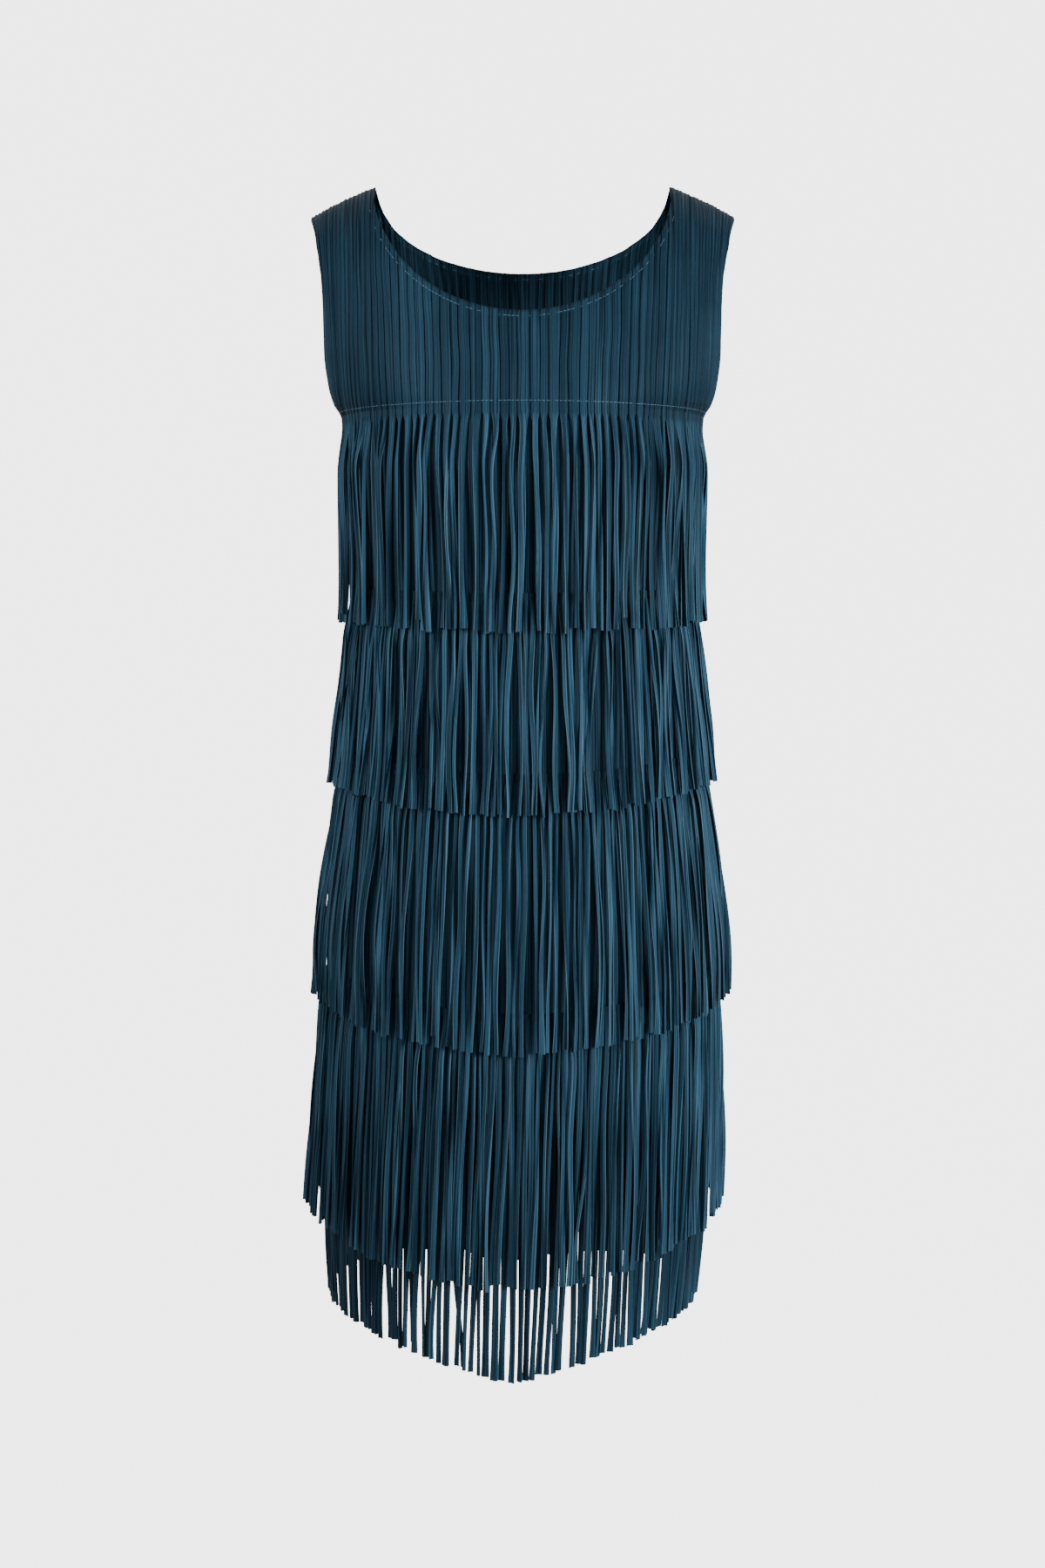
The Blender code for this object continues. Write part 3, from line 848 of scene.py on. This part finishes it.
    # Painted shade: the shade attribute darkens the colour.
    dim = add_node(
        tree, "ShaderNodeMapRange", links={"Value": read["shade"]["Fac"], "To Min": 1.0, "To Max": 0.32}
    )
    scale = line.outputs["Value"]
    for value in (painted_facet_shading, painted_loose_sheen.outputs["Result"], dim.outputs["Result"]):
        scale = calculate(tree, "MULTIPLY", value, scale)
    scaled = add_node(
        tree, "ShaderNodeVectorMath", {"operation": "SCALE"}, {0: dye_with_painted_fold_shading.outputs["Color"], "Scale": scale}
    )
    # Painted highlight along the strands' cut edges, dimmed where painted shade falls.
    cut_edge_highlight_mask = calculate(tree, "MULTIPLY", read["cut"]["Fac"], dim.outputs["Result"])
    with_edge_highlight = add_node(
        tree, "ShaderNodeMix", {"data_type": "RGBA"}, {"Factor": cut_edge_highlight_mask, "B": linear(CUT_EDGE_HIGHLIGHT)}
    )
    tree.links.new(scaled.outputs["Vector"], with_edge_highlight.inputs["A"])
    tree.links.new(with_edge_highlight.outputs["Result"], shader.inputs["Base Color"])

    ridge = add_node(
        tree,
        "ShaderNodeMapRange",
        {"interpolation_type": "SMOOTHSTEP"},
        {"Value": from_crease.outputs["Distance"], "From Max": 0.4},
    )
    height = calculate(tree, "MULTIPLY_ADD", grain, 0.3, ridge.outputs["Result"])
    bump_links = {"Height": height, "Strength": 0.7, "Distance": 0.3 * MM}
    bump = add_node(tree, "ShaderNodeBump", links=bump_links)
    tree.links.new(bump.outputs["Normal"], shader.inputs["Normal"])
    shader.inputs["Roughness"].default_value = 0.58
    shader.inputs["IOR"].default_value = 1.5
    shader.inputs["Specular IOR Level"].default_value = 0.1
    shader.inputs["Specular Tint"].default_value = linear(SHEEN)
    return material


def sewing_thread():
    """Spun polyester thread, paler than the cloth, so the stitches show as a fine dashed line."""
    material = bpy.data.materials.new("pale_sewing_thread")
    material.use_nodes = True
    tree = material.node_tree
    shader = tree.nodes["Principled BSDF"]
    place = add_node(tree, "ShaderNodeTexCoord").outputs["Object"]
    ply = add_node(tree, "ShaderNodeTexNoise", links={"Vector": place, "Scale": 2500.0})
    ramp = add_node(tree, "ShaderNodeValToRGB", links={"Fac": ply.outputs["Fac"]})
    ramp.color_ramp.elements[0].color = linear(DARK_THREAD)
    ramp.color_ramp.elements[1].color = linear(PALE_THREAD)
    tree.links.new(ramp.outputs["Color"], shader.inputs["Base Color"])
    shader.inputs["Roughness"].default_value = 0.6
    return material


def studio_floor():
    """Matt white-painted board, so pale that it shows no grain, only a soft fall of light.

    It shows brighter than the light that it casts, from every view alike.
    """
    material = bpy.data.materials.new("matt_white_board")
    material.use_nodes = True
    tree = material.node_tree
    shader = tree.nodes["Principled BSDF"]
    shader.inputs["Base Color"].default_value = linear(BOARD)
    shader.inputs["Roughness"].default_value = 0.9
    shader.inputs["Emission Color"].default_value = linear("ffffff")
    seen = add_node(tree, "ShaderNodeLightPath").outputs["Is Camera Ray"]
    glow = add_node(
        tree, "ShaderNodeMapRange", links={"Value": seen, "To Min": WALL_LIGHT, "To Max": WALL_GLOW}
    )
    tree.links.new(glow.outputs["Result"], shader.inputs["Emission Strength"])
    return material


def settle(piece, *nodes):
    """Fix a piece to the dress, in place of its solids."""
    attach(piece, BODY)
    if nodes:
        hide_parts(*nodes)
    return piece


def stitched_flat(heights):
    """The yoke's pleats lie a little flatter under the stitching of its seam."""
    return 1 - 0.25 * np.exp(-(((heights - YOKE_SEAM - SEAM_STITCH_RISE) / (2.5 * MM)) ** 2))


def full_depth(heights):
    """The pleats stand at their full depth."""
    return 1 + 0 * heights


def half_depth(heights):
    """A tier's pleats lie half flat where it is sewn on."""
    return 0.5 + 0 * heights


def yoke_relief(heights, down):
    """The yoke's pleats lie flatter in its turned neck hem too, which is thicker than the cloth below it."""
    at_neck = ease(SHOULDER, SHOULDER - 4 * MM, heights + down)
    hem = at_neck * ease(8 * MM, 5 * MM, down)
    turned = at_neck * ease(0, 0.7 * MM, down) * ease(NECK_HEM_DEPTH, NECK_HEM_DEPTH - 1 * MM, down)
    return (1 - NECK_HEM_FLATTER * hem) * stitched_flat(heights), NECK_HEM_RISE * turned


def neck_shade(heights, down):
    """The neck's cut edge gets painted shade, and the shoulder's doesn't."""
    return NECK_SHADE * ease(1.2 * MM, 0.4 * MM, down) * (heights < SHOULDER - 3 * MM)


def skirt_relief(heights, down):
    """The skirt starts inside the yoke, and each tier's seam presses its pleats flat."""
    seams = [tier["seam"] for tier in table(TIER_COLUMNS, TIERS[1:4])]
    pressed = sum(np.exp(-(((heights - seam + 4 * MM) / (9 * MM)) ** 2)) for seam in seams)
    return 1 - 0.5 * pressed, -TUCKED_IN * ease(28 * MM, 10 * MM, down)


def neck_stitches(bm, side, seed):
    """The stitches that hold the turned neck hem, along a line inside its edge."""
    figure = FIGURES[side]
    angle = np.linspace(-1.36, 1.36, 800)
    run = np.hypot(NECK_HALF_WIDTH * np.cos(angle), NECK_DROP[side] * np.sin(angle))
    x = NECK_HALF_WIDTH * np.sin(angle) + NECK_STITCH_DROP * NECK_DROP[side] * np.sin(angle) / run
    z = NECK_TOP - NECK_DROP[side] * np.cos(angle) - NECK_STITCH_DROP * NECK_HALF_WIDTH * np.cos(angle) / run
    height = z.copy()
    for _ in range(12):
        share = np.copysign(figure.share_at(abs(x), height), x)
        points, normals, _ = figure.at(share, height)
        height += z - points[:, 2]
    low, high = -np.ones(len(x)), np.ones(len(x))
    for _ in range(24):
        middle = (low + high) / 2
        below = on_yoke(side, middle, height) < share
        low, high = np.where(below, middle, low), np.where(below, high, middle)
    lift = ripples(seed, low, height)[2] + 0.4 * PLEAT_RISE + 0.24 * MM
    stitch_row(bm, points + normals * lift[:, None], normals, seed)


def seam_stitches(bm, side, seed):
    """The stitches of the yoke's seam, just above its fringe."""
    share = np.linspace(-0.985, 0.985, 1200)
    height = np.full(len(share), YOKE_SEAM + SEAM_STITCH_RISE)
    points, normals, _ = FIGURES[side].at(on_yoke(side, share, height), height)
    lift = ripples(seed, share, height)[2] + 0.72 * PLEAT_RISE + CLOTH_THICKNESS / 2
    stitch_row(bm, points + normals * lift[:, None], normals, seed)


def dress():
    """The whole dress, panel by panel."""
    cloth = pleated_polyester("pleated_polyester_crepe")
    strands = pleated_polyester("cut_polyester_crepe")
    yoke_plan = pleat_plan(YOKE_SEED, YOKE_PLEATS, *YOKE_PITCHES)
    skirt_plan = pleat_plan(SKIRT_SEED, SKIRT_PLEATS, *SKIRT_PITCHES)
    stitches = bmesh.new()
    for number, side in enumerate(SIDES):
        seed = 100 * (number + 1)
        pleat, phase, *_ = pleat_columns(yoke_plan)
        tops = neckline_tops(side, share_in(yoke_plan, pleat, phase))
        yoke = pleated_panel(
            name=f"{side}_yoke_cloth",
            side=side,
            plan=yoke_plan,
            hang=on_yoke,
            tops=tops,
            bottom=YOKE_SEAM,
            rows=YOKE_ROWS,
            material=cloth,
            seed=seed,
            relief=yoke_relief,
            shade=neck_shade,
        )
        settle(yoke, f"{side}_yoke")
        skirt = pleated_panel(
            name=f"{side}_skirt_cloth",
            side=side,
            plan=skirt_plan,
            hang=as_cut,
            tops=np.full(len(pleat_columns(skirt_plan)[0]), YOKE_SEAM - SEAM_GAP),
            bottom=SKIRT_END,
            rows=SKIRT_ROWS,
            material=cloth,
            seed=seed + 20,
            relief=skirt_relief,
            # Painted shade over the whole skirt, behind its tiers.
            shade=lambda heights, down: SKIRT_SHADE + 0 * heights,
        )
        settle(skirt, f"{side}_skirt")
        # Tiers 1 and 5 carry on the pleats of the yoke and the skirt. Each of the others has its own.
        carried_on = {1: (yoke_plan, seed, stitched_flat), 5: (skirt_plan, seed + 20, full_depth)}
        for k, tier in enumerate(table(TIER_COLUMNS, TIERS), start=1):
            own_seed = seed + 10 * k
            own = (pleat_plan(own_seed, tier["strands"], *TIER_PITCHES), own_seed, half_depth)
            tier_plan, panel_seed, relief = carried_on.get(k, own)
            piece = fringe(
                name=f"{side}_fringe_{k}_strands",
                side=side,
                tier=tier,
                plan=tier_plan,
                material=strands,
                seed=seed + 30 + k,
                panel_seed=panel_seed,
                relief=relief,
            )
            settle(piece, f"{side}_fringe_{k}")
        half = FIGURES[side].half_length
        yoke_width, yoke_length = 2 * PLEATED_FULLNESS * float(half(YOKE_SEAM)), 0.21
        skirt_width, skirt_length = 2 * PLEATED_FULLNESS * float(half(SKIRT_END)), YOKE_SEAM - SKIRT_END
        neck_stitches(stitches, side, seed)
        seam_stitches(stitches, side, seed)
    mesh = bpy.data.meshes.new("yoke_stitches")
    stitches.to_mesh(mesh)
    stitches.free()
    mesh.shade_smooth()
    mesh.set_sharp_from_angle(angle=math.radians(50))
    piece = bpy.data.objects.new("yoke_stitches", mesh)
    bpy.context.scene.collection.objects.link(piece)
    piece.data.materials.append(sewing_thread())
    settle(piece)


def stage():
    """A round white studio: a floor that curves up into its wall."""
    floor_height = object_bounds()[0][2] - FLOOR_BELOW_HEM
    bm = bmesh.new()
    bmesh.ops.create_grid(bm, x_segments=32, y_segments=15, size=0.5)
    for v in bm.verts:
        turn, out = 2 * math.pi * (v.co.x + 0.5), v.co.y + 0.5
        if out < CURVE_STARTS:
            r, z = (STUDIO_RADIUS - STUDIO_CURVE) * out / CURVE_STARTS, 0.0
        elif out < CURVE_ENDS:
            bend = (out - CURVE_STARTS) / (CURVE_ENDS - CURVE_STARTS) * math.pi / 2
            r = STUDIO_RADIUS - STUDIO_CURVE * (1 - math.sin(bend))
            z = STUDIO_CURVE * (1 - math.cos(bend))
        else:
            r, z = STUDIO_RADIUS, STUDIO_CURVE + STUDIO_WALL * (out - CURVE_ENDS) / (1 - CURVE_ENDS)
        v.co = (r * math.cos(turn), r * math.sin(turn), floor_height + z)
    bmesh.ops.remove_doubles(bm, verts=bm.verts, dist=0.0001)
    bmesh.ops.recalc_face_normals(bm, faces=bm.faces)
    mesh = bpy.data.meshes.new("studio_floor")
    bm.to_mesh(mesh)
    bm.free()
    mesh.shade_smooth()
    floor = bpy.data.objects.new("studio_floor", mesh)
    bpy.context.scene.collection.objects.link(floor)
    floor.data.materials.append(studio_floor())
    floor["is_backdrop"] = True


def soft_light(name, place, aim, size, power, spread):
    """A square softbox that points at a spot on the dress, its beam so many degrees wide."""
    lamp = bpy.data.lights.new(name, "AREA")
    lamp.size = size
    lamp.energy = power
    lamp.spread = math.radians(spread)
    holder = bpy.data.objects.new(name, lamp)
    holder.location = place
    holder.rotation_euler = (Vector(aim) - Vector(place)).to_track_quat("-Z", "Y").to_euler()
    bpy.context.scene.collection.objects.link(holder)


def studio():
    """Soft light from both sides of the camera, from above and from behind, and a pale sky."""
    for lamp in LAMPS:
        soft_light(*lamp)
    world = bpy.data.worlds.new("pale_sky")
    bpy.context.scene.world = world
    world.use_nodes = True
    world.node_tree.nodes["Background"].inputs["Color"].default_value = (1, 1, 1, 1)
    world.node_tree.nodes["Background"].inputs["Strength"].default_value = SKY_LIGHT


def camera():
    """The photograph's view: from 1.6 m, level with the waist, tilted a little down."""
    eye = bpy.data.cameras.new("camera")
    eye.lens = CAMERA_LENS
    eye.sensor_width = 36
    holder = bpy.data.objects.new("camera", eye)
    holder.location = CAMERA_PLACE
    holder.rotation_euler = (math.radians(CAMERA_TILT), 0, 0)
    bpy.context.scene.collection.objects.link(holder)
    bpy.context.scene.camera = holder


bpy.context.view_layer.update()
dress()
stage()
studio()
camera()
